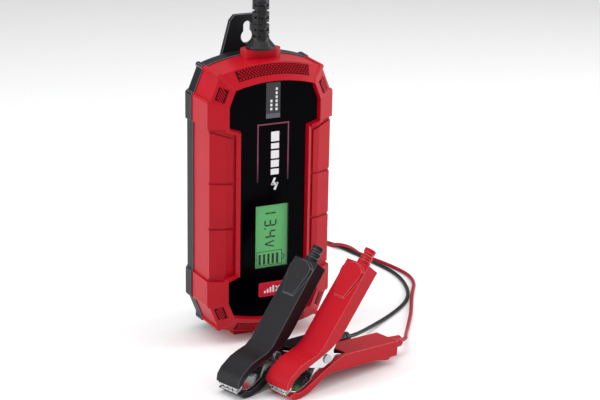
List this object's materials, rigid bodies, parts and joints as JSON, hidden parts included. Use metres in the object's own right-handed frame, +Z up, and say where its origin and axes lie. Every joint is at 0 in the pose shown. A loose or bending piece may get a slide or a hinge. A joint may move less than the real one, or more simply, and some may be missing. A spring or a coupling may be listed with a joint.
{
  "type": "car battery charger",
  "caption": "Two-shell smart charger with a tall display panel, a push button and a keyhole tab, and a split lead ending in two spring clamps.",
  "frame": {"origin": "on the standing surface, under the middle of the housing's width and depth", "axes": "+X to the right seen from the display side, +Y towards the back, +Z up"},
  "size_m": [0.2088, 0.267, 0.2205],
  "materials": {
    "red_abs": "satin",
    "black_abs": "satin",
    "gasket_rubber": "matt",
    "panel_gloss": "gloss",
    "clear_window": "clear gloss",
    "display_green": "lit display",
    "backlight_white": "diffusing",
    "red_key": "satin",
    "component_black": "moulded",
    "component_yellow": "moulded",
    "component_blue": "moulded",
    "board_green": "solder mask",
    "steel": "zinc plated",
    "jaw_steel": "bright nickel plate",
    "spring_steel": "drawn wire",
    "ferrite": "ferrite and tape",
    "can_aluminium": "drawn",
    "fuse_glass": "clear",
    "tinned_copper": "tinned",
    "black_pvc": "flexible moulded",
    "red_pvc": "flexible moulded"
  },
  "bodies": {
    "root": {"front_cover": "red_abs", "rear_cover": "black_abs", "front_panel": "panel_gloss", "display_window": "clear_window", "mains_relief": "black_pvc", "output_relief": "black_pvc", "cover_gasket": "gasket_rubber", "lcd_glass": "display_green", "backlight": "backlight_white", "tact_switch": "component_black", "circuit_board": "board_green", "board_screws": "steel", "case_screws": "steel", "transformer": "ferrite", "choke": "ferrite", "mains_capacitor": "can_aluminium", "output_capacitors": "can_aluminium", "suppression_capacitor": "component_yellow", "fuse": "fuse_glass", "heatsink": "can_aluminium", "power_transistors": "component_black", "relay": "component_blue", "microcontroller": "component_black", "black_clamp_lower_grip": "black_abs", "black_clamp_lower_jaw": "jaw_steel", "black_clamp_pivot_pin": "steel", "black_clamp_spring": "spring_steel", "black_clamp_wire_crimp": "tinned_copper", "red_clamp_lower_grip": "red_abs", "red_clamp_lower_jaw": "jaw_steel", "red_clamp_pivot_pin": "steel", "red_clamp_spring": "spring_steel", "red_clamp_wire_crimp": "tinned_copper", "twin_lead_exit": "black_pvc", "twin_lead_coil": "black_pvc", "twin_lead": "black_pvc", "red_lead": "red_pvc", "black_lead": "black_pvc"},
    "mode_key": {"mode_button": "red_key", "tact_plunger": "component_black"},
    "black_clamp_top": {"black_clamp_upper_grip": "black_abs", "black_clamp_upper_jaw": "jaw_steel", "black_clamp_spring_arm": "spring_steel"},
    "red_clamp_top": {"red_clamp_upper_grip": "red_abs", "red_clamp_upper_jaw": "jaw_steel", "red_clamp_spring_arm": "spring_steel"}
  },
  "joints": [
    {"name": "mode_key_press", "type": "slide", "parent": "root", "child": "mode_key", "axis": [0, 1, 0], "range_m": [0, 0.0005], "stiffness_N_per_m": 300, "springref_m": -0.0015},
    {"name": "black_clamp_opening", "type": "hinge", "parent": "root", "child": "black_clamp_top", "pos_m": [-0.0325, -0.08302, 0.01927], "axis": [-0.3289, 0.9444, 0], "range_deg": [0, 28], "stiffness_Nm_per_rad": 0.5, "springref_deg": -28.65},
    {"name": "red_clamp_opening", "type": "hinge", "parent": "root", "child": "red_clamp_top", "pos_m": [-0.00604, -0.09875, 0.01927], "axis": [-0.284, 0.9588, 0], "range_deg": [0, 28], "stiffness_Nm_per_rad": 0.5, "springref_deg": -28.65}
  ]
}
